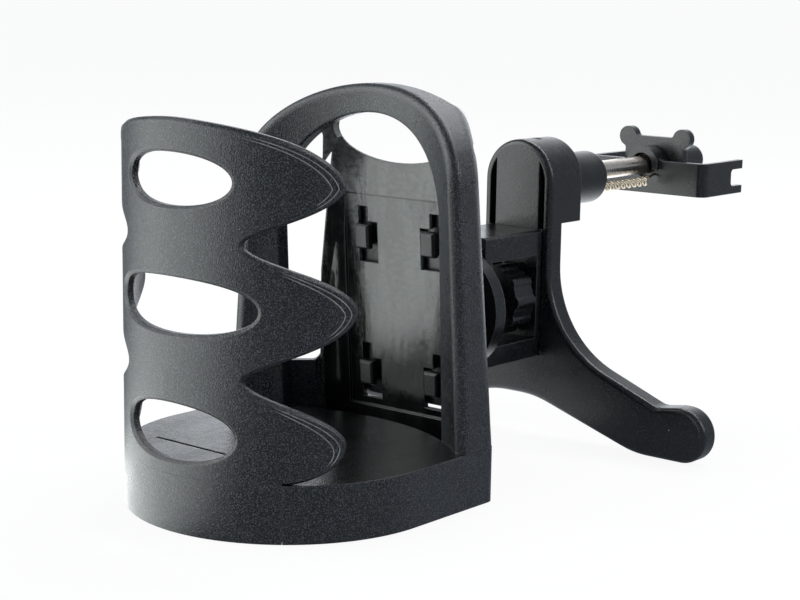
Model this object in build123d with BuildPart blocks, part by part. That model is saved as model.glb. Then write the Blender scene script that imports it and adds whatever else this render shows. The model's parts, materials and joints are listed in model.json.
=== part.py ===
from build123d import *
import os
from math import cos, radians, sin, tan

# Car cup holder: a fingered cup cage on an arched basket, hung by hooks on a sliding, turning vent bracket.
# Millimetres, +Z up, +Y towards the vent. The origin is on the cup axis at the underside of the base.

os.makedirs("parts", exist_ok=True)

# Clearances
running_fit = 0.05
slide_gap = 0.3
seat_gap = 0.1
press_fit = 0.02
screw_tip_gap = 0.4
edge_break = 0.5

# Cup cage, measured round its outside from the front
cup_radius = 36.0
cage_wall = 2.0
cage_radius = cup_radius + cage_wall
cage_height = 90.2
crown_arc = 18.4
brow_rise = 3.0
upper_tip_arc = 40.7
upper_tip_z = 76.7
middle_tip_arc = 43.8
middle_tip_z = 50.0
lower_tip_arc = 41.4
lower_tip_z = 21.3
gap_arc = 18.5
upper_gap_z = 64.1
lower_gap_z = 35.1
gap_round = 0.37
tip_round = 0.29
sole_drop = 3.6
sole_arc = 32.5
band_arc = 27.2
upper_window = (77.2, 16.1, 5.7)
middle_window = (50.2, 21.9, 6.1)
lower_window = (22.4, 16.8, 6.3)
cage_edge = 0.7
tongue_width = 50.0
tongue_back_y = -19.0
tongue_thick = 3.2
tongue_groove = 0.8

# Base and arched back of the basket
base_height = 13.0
base_wall = 2.6
base_hollow = 7.0
rib_thick = 1.6
well_floor = 3.0
corner_y = 28.3
corner_x = 23.0
back_y = 43.1
corner_round = 10.0
side_round = 3.0
back_lean = 4.0
skin = 2.2
hollow_radius = 52.0
hollow_y = -20.5
hollow_lean = 0.05
frame_depth = 3.0
frame_round = 2.0
arch_top = 95.1
arch_spring_z = 74.0
arch_pull = 0.55
side_spare = 0.5
crown_round = 5.0
rim_inner_edge = 0.6
opening_half_width = 25.5
opening_spring_z = 64.0
opening_top = 88.2
side_window_width = 11.0
side_window_low = 23.0
side_window_high = 82.6
side_window_round = 2.0
oval_z = 83.3
oval_half_width = 19.5
oval_half_height = 7.8
oval_depth = 9.6
panel_half_width = 17.0
panel_top = 67.0
panel_recess = 0.8

# Keyhole slots and the hooks in them
hook_z = 39.3
hook_spread_z = 35.0
hook_outer = 12.6
hook_neck_width = 2.3
hook_head_width = 4.3
hook_head_height = 6.2
hook_head_depth = 1.9
hook_neck_height = 5.4
slot_inner = 6.9
slot_clear = 0.4
slot_drop = 4.2
slot_lift = 3.3

# Hook plate, swivel and stud
axis_z = 37.0
plate_width = 31.0
plate_height = 50.6
plate_rise = 1.6
plate_thick = 3.0
plate_round = 4.0
hub_radius = 10.0
stud_radius = 3.0
washer_radius = 5.0
washer_thick = 1.1
screw_head_radius = 3.0
screw_head_height = 2.0
stud_screw_radius = 1.5
stud_screw_length = 9.0
stud_front_y = 47.8
disc_front_y = 58.0
disc_thick = 4.8
disc_radius = 16.0
disc_bevel = 0.8
sleeve_radius = 5.5

# Carriage and the lock nut inside it
carriage_back_y = 87.2
carriage_half_width = 8.6
carriage_low = 21.6
carriage_high = 55.4
lower_arm = 5.0
upper_arm = 6.6
front_wall = 3.0
back_wall = 1.8
arm_edge = 0.6
nut_lobes = 10
nut_lobe_radius = 1.6
nut_radius = 9.7
nut_front_y = 76.2
nut_length = 7.6
stem_width = 4.0
stem_height = 11.0
carriage_up = 12.0
carriage_down = 3.0
rail_thick = 1.4
rail_reach = 2.6
keeper_width = 17.0
keeper_thick = 2.2
keeper_round = 1.5
keeper_screw_radius = 1.1
keeper_screw_spread = 6.0

# Vent bracket
column_half_width = 10.8
column_thick = 5.5
housing_depth = 14.1
housing_low = 56.7
rod_z = 67.7
boss_radius = 7.2
boss_drop = 1.3
boss_length = 18.7
boss_round = 1.0
housing_wall = 2.5
rail_slit = 2.0
rail_slit_depth = 4.4
rail_rim = 1.9
bracket_edge = 1.4
leg_vertex_z = 26.4
leg_round = 28.0
ankle_x = 45.3
ankle_z = 13.1
ankle_round = 5.0
foot_top_x = 51.0
foot_end_x = 59.6
foot_height = 14.0
foot_heel_x = 38.8
heel_round = 25.0
crotch_x = 6.8
crotch_z = 10.3
crotch_round = 30.0
top_slot_length = 4.2
top_slot_width = 2.0
top_slot_y = 94.5

# Rod, clip and wing
rod_radius = 2.6
ring_radius = 4.2
ring_thick = 1.0
clip_y = 150.0
clip_thick = 1.8
clip_half_width = 20.0
clip_low = 59.6
clip_height = 9.6
clip_length = 22.0
clip_bend = 2.4
notch_round = 1.2
notch_depth = 6.4
notch_low = 2.2
notch_height = 4.9
hood_radius = 5.4
hood_reach = 1.6
hood_mouth = 3.6
hood_blend = 2.0
hood_lip = 1.0
ears_y = 155.0
ears_thick = 2.5
ear_x = 9.1
ear_z = 7.6
ear_radius = 2.9
ears_half_width = 9.8
ears_rise = 7.9
ears_drop = 6.6
ears_round = 2.0
cap_radius = 4.5
cap_length = 19.4
spring_radius = 1.25
spring_wire = 0.32
spring_pitch = 1.9
spring_x = 3.6
spring_z = 63.2

# Fasteners from below
cage_screw_x = 17.0
cage_screw_y = -25.0
cage_screw_radius = 1.2
cage_screw_depth = 2.2

on_floor = (Align.CENTER, Align.CENTER, Align.MIN)


def xz_plane(y):
    """Upright plane across the object at this depth, facing the front."""
    return Plane((0, y, 0), x_dir=(1, 0, 0), z_dir=(0, -1, 0))


def back_of(y):
    """Upright plane across the object at this depth, facing the vent."""
    return Plane((0, y, 0), x_dir=(-1, 0, 0), z_dir=(0, 1, 0))


# The cage outline is drawn as it is seen from the cup axis, on upright planes inside and outside the
# wall, so that every edge of a finger or window runs straight towards that axis.
near_plane = 10.0
far_plane = cage_radius + near_plane


def seen(arc, z, distance):
    """A point of the cage on the upright plane at this distance from the cup axis."""
    return (distance * tan(arc / cage_radius), z)


def flank(gap_z, tip_arc, tip_z, distance):
    """Finger edge that leaves a gap upright and turns upright again into the fingertip."""
    rise = tip_z - gap_z
    gap_x, _ = seen(gap_arc, gap_z, distance)
    tip_x, _ = seen(tip_arc, tip_z, distance)
    kink = 0.01 * abs(rise)
    leave = (gap_x + kink, gap_z + gap_round * rise)
    arrive = (tip_x - kink, tip_z - tip_round * rise)
    return Bezier((gap_x, gap_z), leave, arrive, (tip_x, tip_z))


def cage_outline(distance):
    """Outline of the whole cage as seen from the cup axis."""
    band_top = seen(band_arc, base_height, distance)
    with BuildSketch(xz_plane(-distance)) as outline:
        with BuildLine():
            Bezier(
                seen(0, cage_height, distance),
                seen(crown_arc, cage_height, distance),
                seen(upper_tip_arc, upper_tip_z + brow_rise, distance),
                seen(upper_tip_arc, upper_tip_z, distance),
            )
            flank(upper_gap_z, upper_tip_arc, upper_tip_z, distance)
            flank(upper_gap_z, middle_tip_arc, middle_tip_z, distance)
            flank(lower_gap_z, middle_tip_arc, middle_tip_z, distance)
            flank(lower_gap_z, lower_tip_arc, lower_tip_z, distance)
            Bezier(
                seen(lower_tip_arc, lower_tip_z, distance),
                seen(lower_tip_arc, lower_tip_z - sole_drop, distance),
                seen(sole_arc, base_height, distance),
                band_top,
            )
            Polyline(band_top, seen(band_arc, 0, distance), seen(0, 0, distance))
            mirror(about=Plane.YZ)
        make_face()
    return outline.sketch.face()


def window_outline(window, distance):
    """Oval window as seen from the cup axis."""
    height, half_arc, half_height = window
    with BuildSketch(xz_plane(-distance)) as outline:
        with Locations((0, height)):
            Ellipse(distance * tan(half_arc / cage_radius), half_height)
    return outline.sketch.face()


def tongue_outline(grown, groove=0):
    """Plan of the cage's floor tongue, grown on its free sides, with a groove behind it."""
    with BuildSketch() as outline:
        with Locations((0, tongue_back_y + grown + groove)):
            Rectangle(tongue_width + 2 * grown, cage_radius, align=(Align.CENTER, Align.MAX))
        Circle(cup_radius + cage_wall / 2, mode=Mode.INTERSECT)
    return outline.sketch


cage_screw_spots = [(-cage_screw_x, cage_screw_y), (cage_screw_x, cage_screw_y)]
tongue_z = base_height - tongue_thick

with BuildPart() as front_cage:
    Cylinder(cage_radius, cage_height, align=on_floor)
    Cylinder(cup_radius, cage_height, align=on_floor, mode=Mode.SUBTRACT)
    loft(
        sections=[cage_outline(near_plane), cage_outline(far_plane)],
        ruled=True,
        mode=Mode.INTERSECT,
    )
    for window in (upper_window, middle_window, lower_window):
        loft(
            sections=[window_outline(window, near_plane), window_outline(window, far_plane)],
            ruled=True,
            mode=Mode.SUBTRACT,
        )
    outer_face = front_cage.faces().filter_by(GeomType.CYLINDER).sort_by(SortBy.AREA)[-1]
    free_edges = outer_face.edges().filter_by(lambda edge: edge.center().Z > base_height)
    chamfer(free_edges, cage_edge)
    extrude(Plane.XY.offset(tongue_z) * tongue_outline(0), amount=tongue_thick)
    with Locations(Plane.XY.offset(tongue_z)):
        with Locations(cage_screw_spots):
            Cylinder(cage_screw_radius + running_fit, 2 * cage_screw_depth, mode=Mode.SUBTRACT)
front_cage.part.label = "front_cage"
export_step(front_cage.part, "parts/front_cage.step")


# Basket frame: base with floor and well, arch and leaning slotted back wall
def basket_plan(inset, spare=0):
    """Plan of the base: round front, straight sides and cut-off back corners."""
    cut_slope = (back_y - corner_y) / (cage_radius - corner_x)
    side_x = cage_radius + spare
    with BuildSketch() as plan:
        with BuildLine():
            corner = (side_x, corner_y - spare * cut_slope)
            Polyline((side_x, 0), corner, (corner_x, back_y), (0, back_y))
            mirror(about=Plane.YZ)
            CenterArc((0, 0), side_x, 180, 180)
        make_face()
        fillet(plan.vertices().group_by(Axis.Y)[-1], corner_round)
        if not spare:
            side_corners = plan.vertices().filter_by(lambda vertex: abs(vertex.Y - corner_y) < 0.01)
            fillet(side_corners, side_round)
        if inset:
            offset(amount=-inset, kind=Kind.INTERSECTION, mode=Mode.REPLACE)
    return plan.sketch


def hollow_cutter(radius, low):
    """Leaning round column that shapes the concave front of the arch."""
    with BuildSketch(Plane.XY.offset(low)) as circle:
        with Locations((0, hollow_y - hollow_lean * (low - base_height))):
            Circle(radius)
    return extrude(circle.sketch, amount=2 * arch_top, dir=(0, -hollow_lean, 1), mode=Mode.PRIVATE)


def arch_view(inset):
    """Front view of the arched back: leaning sides that run over into a round crown."""
    lean = tan(radians(back_lean))
    side_x = cage_radius - inset
    spring_x = side_x - lean * (arch_spring_z - base_height)
    crown_z = arch_top - inset
    pull = arch_pull * (crown_z - arch_spring_z)
    with BuildSketch(xz_plane(-2 * cage_radius)) as view:
        with BuildLine():
            Polyline((0, base_height), (side_x, base_height), (spring_x, arch_spring_z))
            Bezier(
                (spring_x, arch_spring_z),
                (spring_x - lean * pull, arch_spring_z + pull),
                (arch_pull * spring_x, crown_z),
                (0, crown_z),
            )
            mirror(about=Plane.YZ)
        make_face()
    return view.sketch


def on_hollow(edge):
    """Whether an edge lies on the concave front of the arch."""
    for place in (0.1, 0.5, 0.9):
        point = edge @ place
        middle_y = hollow_y - hollow_lean * (point.Z - base_height)
        if abs(Vector(point.X, point.Y - middle_y, 0).length - hollow_radius) > 0.05:
            return False
    return edge.center().Z > base_height + 1


lean_drop = tan(radians(back_lean))
back_mid_y = back_y - lean_drop * (hook_z - base_height)
back_plane = Plane(
    (0, back_mid_y, hook_z),
    x_dir=(1, 0, 0),
    z_dir=(0, -cos(radians(back_lean)), -sin(radians(back_lean))),
)
slot_outer = hook_outer + slot_clear
neck_inner = hook_outer - hook_neck_width
wide_top = hook_head_height / 2 + slot_clear
wide_low = -hook_head_height / 2 - slot_clear - slot_lift
narrow_top = hook_neck_height / 2 + slot_clear + slot_drop

with BuildPart() as back_hollow:
    upper_plan = basket_plan(skin, side_spare)
    extrude(Plane.XY.offset(base_height) * upper_plan, amount=arch_top, taper=back_lean)
    extrude(arch_view(skin), amount=-4 * cage_radius, mode=Mode.INTERSECT)
    extrude(Plane.XY.offset(base_height) * basket_plan(skin), amount=well_floor - base_height)
    add(hollow_cutter(hollow_radius + frame_depth, 0), mode=Mode.SUBTRACT)

with BuildPart() as arch_opening:
    with BuildSketch(xz_plane(0)):
        with Locations((0, opening_spring_z)):
            Ellipse(opening_half_width, opening_top - opening_spring_z)
            Rectangle(
                2 * opening_half_width,
                opening_spring_z - well_floor,
                align=(Align.CENTER, Align.MAX),
            )
    extrude(amount=-(back_y - skin - frame_depth))
    add(hollow_cutter(hollow_radius, 0), mode=Mode.SUBTRACT)

with BuildPart() as arch_body:
    outer_plan = basket_plan(0, side_spare)
    extrude(Plane.XY.offset(base_height) * outer_plan, amount=arch_top, taper=back_lean)
    extrude(arch_view(0), amount=-4 * cage_radius, mode=Mode.INTERSECT)
    crown_edges = arch_body.edges().filter_by(lambda edge: edge.center().Z > arch_spring_z)
    fillet(crown_edges.filter_by(lambda edge: (edge @ 0.5).Y > corner_y), crown_round)
    add(hollow_cutter(hollow_radius, base_height), mode=Mode.SUBTRACT)
    fillet(arch_body.edges().filter_by(on_hollow), frame_round)

with BuildPart() as basket_frame:
    # Base block and the leaning back above it, hollow behind the arch
    extrude(basket_plan(0), amount=base_height)
    add(arch_body.part)
    add(back_hollow.part, mode=Mode.SUBTRACT)
    add(arch_opening.part, mode=Mode.SUBTRACT)
    fillet(basket_frame.edges().filter_by(on_hollow), rim_inner_edge)
    # Hollow underside with ribs
    with BuildSketch():
        add(basket_plan(cage_wall + base_wall))
        with Locations((0, hollow_y)):
            Circle(hollow_radius - base_wall, mode=Mode.INTERSECT)
        Rectangle(3 * cage_radius, rib_thick, mode=Mode.SUBTRACT)
        for rib_x in (-cage_radius / 3, cage_radius / 3):
            with Locations((rib_x, 0)):
                Rectangle(rib_thick, 3 * cage_radius, mode=Mode.SUBTRACT)
        with Locations(cage_screw_spots):
            Circle(screw_head_radius + base_wall / 2, mode=Mode.SUBTRACT)
    extrude(amount=base_hollow, mode=Mode.SUBTRACT)
    # Seat for the band and tongue of the cage
    with BuildSketch():
        Circle(cage_radius + side_spare)
        Circle(cup_radius - seat_gap, mode=Mode.SUBTRACT)
        half_angle = (band_arc + seat_gap) / cage_radius
        reach = 2 * cage_radius
        with BuildLine():
            Polyline(
                (0, 0),
                (reach * sin(half_angle), -reach * cos(half_angle)),
                (-reach * sin(half_angle), -reach * cos(half_angle)),
                close=True,
            )
        make_face(mode=Mode.INTERSECT)
    extrude(amount=base_height, mode=Mode.SUBTRACT)
    tongue_seat = Plane.XY.offset(tongue_z - seat_gap) * tongue_outline(seat_gap, tongue_groove)
    extrude(tongue_seat, amount=2 * tongue_thick, mode=Mode.SUBTRACT)
    with Locations(cage_screw_spots):
        Cylinder(cage_screw_radius + slide_gap, base_height, align=on_floor, mode=Mode.SUBTRACT)
        Cylinder(screw_head_radius + slide_gap, 2 * screw_head_height, mode=Mode.SUBTRACT)
    # Slots for the hooks, mirrored left to right
    with BuildSketch(back_plane):
        for level in (-hook_spread_z / 2, hook_spread_z / 2):
            with Locations((slot_outer, level + wide_low)):
                Rectangle(slot_outer - slot_inner, wide_top - wide_low, align=(Align.MAX, Align.MIN))
            with Locations((slot_outer, level)):
                narrow = hook_neck_width + 2 * slot_clear
                Rectangle(narrow, narrow_top, align=(Align.MAX, Align.MIN))
        mirror(about=Plane.YZ)
    extrude(amount=2 * skin, both=True, mode=Mode.SUBTRACT)
    # Recessed smooth panel round the slots
    with BuildSketch(back_plane.offset(skin - panel_recess)):
        with Locations((0, panel_top - hook_z)):
            Rectangle(
                2 * panel_half_width,
                panel_top - base_height,
                align=(Align.CENTER, Align.MAX),
            )
    extrude(amount=2 * panel_recess, mode=Mode.SUBTRACT)
    # Oval hole under the crown and a tall window in each back corner
    with BuildSketch(xz_plane(back_y)):
        with Locations((0, oval_z)):
            Ellipse(oval_half_width, oval_half_height)
    extrude(amount=oval_depth, mode=Mode.SUBTRACT)
    corner_mid = Vector((cage_radius + corner_x) / 2, (corner_y + back_y) / 2, 0)
    corner_out = Vector(back_y - corner_y, cage_radius - corner_x, 0)
    corner_plane = Plane(corner_mid, x_dir=corner_out.cross(Vector(0, 0, -1)), z_dir=corner_out)
    with BuildSketch(corner_plane):
        with Locations((0, (side_window_low + side_window_high) / 2)):
            window_height = side_window_high - side_window_low
            RectangleRounded(side_window_width, window_height, side_window_round)
    side_window = extrude(amount=-4 * skin, both=True, mode=Mode.SUBTRACT)
    mirror(side_window, about=Plane.YZ, mode=Mode.SUBTRACT)
basket_frame.part.label = "basket_frame"
export_step(basket_frame.part, "parts/basket_frame.step")

screw_end_z = tongue_z + cage_screw_depth - screw_tip_gap

with BuildPart() as cage_screws:
    with Locations(cage_screw_spots):
        with Locations((0, 0, seat_gap)):
            Cylinder(screw_head_radius, screw_head_height - 2 * seat_gap, align=on_floor)
            Cylinder(cage_screw_radius, screw_end_z - seat_gap, align=on_floor)
cage_screws.part.label = "cage_screws"
export_step(cage_screws.part, "parts/cage_screws.step")

# Hook plate: its face lies along the leaning back, its hub lies level
with BuildPart() as hook_plate:
    with BuildSketch(back_plane.offset(-slide_gap)):
        with Locations((0, plate_rise)):
            RectangleRounded(plate_width, plate_height, plate_round)
    extrude(amount=-plate_thick)
    with BuildSketch(back_of(disc_front_y - slide_gap)):
        with Locations((0, axis_z)):
            Circle(hub_radius)
    extrude(amount=-(disc_front_y - slide_gap - back_mid_y - plate_thick))
    with BuildSketch(back_plane.offset(-slide_gap)):
        for level in (-hook_spread_z / 2, hook_spread_z / 2):
            with Locations((hook_outer, level)):
                Rectangle(hook_neck_width, hook_neck_height, align=(Align.MAX, Align.CENTER))
        mirror(about=Plane.YZ)
    head_back = skin - panel_recess + slide_gap
    extrude(amount=slide_gap + head_back)
    with BuildSketch(back_plane.offset(head_back)):
        for level in (-hook_spread_z / 2, hook_spread_z / 2):
            with Locations((hook_outer, level)):
                Rectangle(hook_head_width, hook_head_height, align=(Align.MAX, Align.CENTER))
        mirror(about=Plane.YZ)
    extrude(amount=hook_head_depth)
    front_faces = hook_plate.faces().filter_by(lambda face: face.normal_at().Y < -0.9)
    chamfer(front_faces.sort_by(SortBy.AREA)[:4].edges(), edge_break)
    with BuildSketch(back_of(disc_front_y)):
        with Locations((0, axis_z)):
            Circle(stud_radius + running_fit)
    extrude(amount=-disc_front_y, mode=Mode.SUBTRACT)
    with BuildSketch(xz_plane(stud_front_y + 2 * seat_gap)):
        with Locations((0, axis_z)):
            Circle(washer_radius + slide_gap)
    extrude(amount=stud_front_y, mode=Mode.SUBTRACT)
hook_plate.part.label = "hook_plate"
export_step(hook_plate.part, "parts/hook_plate.step")

disc_back_y = disc_front_y + disc_thick
carriage_front_y = disc_back_y + seat_gap
nut_back_y = nut_front_y + nut_length
stud_back_y = nut_back_y - screw_tip_gap

with BuildPart() as swivel_disc:
    with BuildSketch(xz_plane(disc_back_y)):
        with Locations((0, axis_z)):
            Circle(disc_radius)
            Circle(stud_radius + press_fit, mode=Mode.SUBTRACT)
    extrude(amount=disc_thick)
    chamfer(swivel_disc.faces().sort_by(Axis.Y)[-1].outer_wire().edges(), disc_bevel)
swivel_disc.part.label = "swivel_disc"
export_step(swivel_disc.part, "parts/swivel_disc.step")

with BuildPart() as pivot_stud:
    with BuildSketch(xz_plane(stud_back_y)):
        with Locations((0, axis_z)):
            Circle(stud_radius)
    extrude(amount=stud_back_y - stud_front_y)
    chamfer(pivot_stud.edges().sort_by(Axis.Y)[-1], edge_break)
    with BuildSketch(xz_plane(stud_front_y)):
        with Locations((0, axis_z)):
            Circle(stud_screw_radius + press_fit)
    extrude(amount=-(stud_screw_length + screw_tip_gap), mode=Mode.SUBTRACT)
pivot_stud.part.label = "pivot_stud"
export_step(pivot_stud.part, "parts/pivot_stud.step")

washer_back_y = stud_front_y - seat_gap
washer_front_y = washer_back_y - washer_thick

with BuildPart() as swivel_washer:
    with BuildSketch(xz_plane(washer_back_y)):
        with Locations((0, axis_z)):
            Circle(washer_radius)
            Circle(stud_screw_radius + 2 * seat_gap, mode=Mode.SUBTRACT)
    extrude(amount=washer_thick)
swivel_washer.part.label = "swivel_washer"
export_step(swivel_washer.part, "parts/swivel_washer.step")

with BuildPart() as swivel_screw:
    with BuildSketch(xz_plane(washer_front_y)):
        with Locations((0, axis_z)):
            Circle(screw_head_radius)
    extrude(amount=screw_head_height)
    with BuildSketch(xz_plane(washer_front_y)):
        with Locations((0, axis_z)):
            Circle(stud_screw_radius)
    extrude(amount=-stud_screw_length)
swivel_screw.part.label = "swivel_screw"
export_step(swivel_screw.part, "parts/swivel_screw.step")

# Carriage: a box frame open at its sides, with rails and a stem behind
column_front_y = carriage_back_y + slide_gap
column_back_y = column_front_y + column_thick
slit_inner = column_half_width - rail_rim - rail_slit
rail_inner = slit_inner + slide_gap
rail_low = carriage_low + carriage_down + slide_gap
frame_open_low = carriage_low + lower_arm
frame_open_high = carriage_high - upper_arm

with BuildPart() as carriage:
    with BuildSketch(Plane.YZ.offset(-carriage_half_width)) as frame_side:
        with Locations((carriage_front_y, carriage_low)):
            carriage_height = carriage_high - carriage_low
            Rectangle(carriage_back_y - carriage_front_y, carriage_height, align=(Align.MIN, Align.MIN))
        with Locations((carriage_front_y + front_wall, frame_open_low)):
            open_length = carriage_back_y - back_wall - carriage_front_y - front_wall
            open_height = frame_open_high - frame_open_low
            Rectangle(open_length, open_height, align=(Align.MIN, Align.MIN), mode=Mode.SUBTRACT)
    extrude(amount=2 * carriage_half_width)
    chamfer(carriage.edges().filter_by(Axis.Y).group_by(Axis.Z)[-1], arm_edge)
    # Hole for the stud
    with BuildSketch(xz_plane(carriage_front_y + front_wall)):
        with Locations((0, axis_z)):
            Circle(stud_radius + press_fit)
    extrude(amount=front_wall, mode=Mode.SUBTRACT)
    # Rails in the side slits and stem through the middle slot
    with BuildSketch(back_of(carriage_back_y)):
        for side in (-1, 1):
            with Locations((side * (rail_inner + rail_thick / 2), rail_low)):
                Rectangle(rail_thick, carriage_high - rail_low, align=(Align.CENTER, Align.MIN))
    extrude(amount=rail_reach)
    with BuildSketch(back_of(carriage_back_y)):
        with Locations((0, axis_z)):
            Rectangle(stem_width, stem_height)
    extrude(amount=column_back_y + slide_gap - carriage_back_y)
    with BuildSketch(back_of(column_back_y + slide_gap)):
        with Locations((0, axis_z)):
            with GridLocations(0, keeper_screw_spread, 1, 2):
                Circle(keeper_screw_radius + press_fit)
    extrude(amount=-column_thick - screw_tip_gap, mode=Mode.SUBTRACT)
carriage.part.label = "carriage"
export_step(carriage.part, "parts/carriage.step")

sleeve_front_y = carriage_front_y + front_wall + seat_gap

with BuildPart() as spacer_sleeve:
    with BuildSketch(back_of(sleeve_front_y)):
        with Locations((0, axis_z)):
            Circle(sleeve_radius)
            Circle(stud_radius + seat_gap, mode=Mode.SUBTRACT)
    extrude(amount=nut_front_y - slide_gap - sleeve_front_y)
spacer_sleeve.part.label = "spacer_sleeve"
export_step(spacer_sleeve.part, "parts/spacer_sleeve.step")

with BuildPart() as lock_nut:
    with BuildSketch(xz_plane(nut_back_y)) as nut_outline:
        with Locations((0, axis_z)):
            Circle(nut_radius - nut_lobe_radius / 2)
            with PolarLocations(nut_radius - nut_lobe_radius, nut_lobes):
                Circle(nut_lobe_radius)
        fillet(nut_outline.vertices(), nut_lobe_radius / 2)
        with Locations((0, axis_z)):
            Circle(stud_radius + running_fit, mode=Mode.SUBTRACT)
    extrude(amount=nut_length)
lock_nut.part.label = "lock_nut"
export_step(lock_nut.part, "parts/lock_nut.step")

keeper_front_y = column_back_y + slide_gap
keeper_back_y = keeper_front_y + keeper_thick

with BuildPart() as slide_keeper:
    with BuildSketch(back_of(keeper_front_y)):
        with Locations((0, axis_z)):
            RectangleRounded(keeper_width, stem_height + 2 * edge_break, keeper_round)
            with GridLocations(0, keeper_screw_spread, 1, 2):
                Circle(keeper_screw_radius + 2 * seat_gap, mode=Mode.SUBTRACT)
    extrude(amount=keeper_thick)
slide_keeper.part.label = "slide_keeper"
export_step(slide_keeper.part, "parts/slide_keeper.step")

with BuildPart() as keeper_screws:
    with BuildSketch(back_of(keeper_back_y)):
        with Locations((0, axis_z)):
            with GridLocations(0, keeper_screw_spread, 1, 2):
                Circle(2 * keeper_screw_radius)
    extrude(amount=keeper_round)
    with BuildSketch(back_of(keeper_back_y)):
        with Locations((0, axis_z)):
            with GridLocations(0, keeper_screw_spread, 1, 2):
                Circle(keeper_screw_radius)
    extrude(amount=-(keeper_thick + column_thick))
keeper_screws.part.label = "keeper_screws"
export_step(keeper_screws.part, "parts/keeper_screws.step")

# Vent bracket: housing, column and two splayed feet in one moulding
housing_back_y = column_front_y + housing_depth
boss_end_y = housing_back_y + boss_length
window_low = axis_z - stem_height / 2 - carriage_down - slide_gap
window_high = axis_z + stem_height / 2 + carriage_up + slide_gap
slit_low = rail_low - carriage_down - slide_gap
foot_round = foot_height / 2 - seat_gap

with BuildPart() as vent_bracket:
    with BuildSketch(back_of(column_front_y)) as bracket_view:
        with BuildLine():
            FilletPolyline(
                (0, crotch_z),
                (crotch_x, crotch_z),
                (foot_heel_x, 0),
                (foot_end_x, 0),
                (foot_end_x, foot_height),
                (foot_top_x, foot_height),
                (ankle_x, ankle_z),
                (column_half_width, leg_vertex_z),
                (column_half_width, rod_z),
                (0, rod_z),
                radius=(
                    crotch_round,
                    heel_round,
                    foot_round,
                    foot_round,
                    ankle_round,
                    ankle_round,
                    leg_round,
                    0.01,
                ),
            )
            mirror(about=Plane.YZ)
        make_face()
        with Locations((0, rod_z)):
            Circle(column_half_width)
    extrude(amount=column_thick)
    fillet(vent_bracket.faces().sort_by(Axis.Y)[0].edges(), bracket_edge)
    with BuildSketch(back_of(column_front_y + bracket_edge)):
        with Locations((0, rod_z)):
            Circle(column_half_width)
            Rectangle(2 * column_half_width, rod_z - housing_low, align=(Align.CENTER, Align.MAX))
    extrude(amount=housing_depth - bracket_edge)
    with BuildSketch(back_of(housing_back_y)):
        with Locations((0, rod_z - boss_drop)):
            Circle(boss_radius)
    extrude(amount=boss_length)
    fillet(vent_bracket.faces().sort_by(Axis.Y)[-1].edges(), boss_round)
    # Hollow housing, open below, with the bore for the rod
    hollow_half = slit_inner - rail_rim
    with BuildSketch(back_of(column_front_y + housing_wall)):
        with Locations((0, rod_z)):
            Circle(hollow_half)
            Rectangle(2 * hollow_half, rod_z - window_high, align=(Align.CENTER, Align.MAX))
    extrude(amount=housing_depth - 2 * housing_wall, mode=Mode.SUBTRACT)
    with BuildSketch(back_of(boss_end_y)):
        with Locations((0, rod_z)):
            Circle(rod_radius + running_fit)
    extrude(amount=-(boss_length + housing_wall), mode=Mode.SUBTRACT)
    # Side slits up to the rim, and the slot for the stem
    with BuildSketch(back_of(column_front_y)):
        with Locations((0, rod_z)):
            Circle(column_half_width - rail_rim)
            Rectangle(
                2 * (column_half_width - rail_rim),
                rod_z - slit_low,
                align=(Align.CENTER, Align.MAX),
            )
        with Locations((0, slit_low)):
            Rectangle(2 * slit_inner, arch_top, align=(Align.CENTER, Align.MIN), mode=Mode.SUBTRACT)
    extrude(amount=rail_slit_depth, mode=Mode.SUBTRACT)
    with BuildSketch(back_of(column_front_y)):
        with Locations((0, (window_low + window_high) / 2)):
            Rectangle(stem_width + 2 * slide_gap, window_high - window_low)
    extrude(amount=column_thick, mode=Mode.SUBTRACT)
    with Locations((0, top_slot_y, rod_z + hollow_half)):
        Box(top_slot_length, top_slot_width, 2 * column_half_width, align=on_floor, mode=Mode.SUBTRACT)
vent_bracket.part.label = "vent_bracket"
export_step(vent_bracket.part, "parts/vent_bracket.step")

# Rod with its ring, and the clip, pull plate and cap on it
rod_start_y = column_front_y + housing_wall + slide_gap
ring_front_y = rod_start_y + 2 * slide_gap
ears_back_y = ears_y + ears_thick
cap_start_y = ears_back_y + seat_gap
cap_end_y = cap_start_y + cap_length
rod_end_y = cap_end_y - cap_radius

with BuildPart() as guide_rod:
    with BuildSketch(back_of(rod_start_y)):
        with Locations((0, rod_z)):
            Circle(rod_radius)
    extrude(amount=rod_end_y - rod_start_y)
    chamfer(guide_rod.edges().filter_by(GeomType.CIRCLE), edge_break)
guide_rod.part.label = "guide_rod"
export_step(guide_rod.part, "parts/guide_rod.step")

with BuildPart() as retaining_ring:
    with BuildSketch(back_of(ring_front_y)):
        with Locations((0, rod_z)):
            Circle(ring_radius)
            Circle(rod_radius + press_fit, mode=Mode.SUBTRACT)
    extrude(amount=ring_thick)
retaining_ring.part.label = "retaining_ring"
export_step(retaining_ring.part, "parts/retaining_ring.step")

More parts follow.
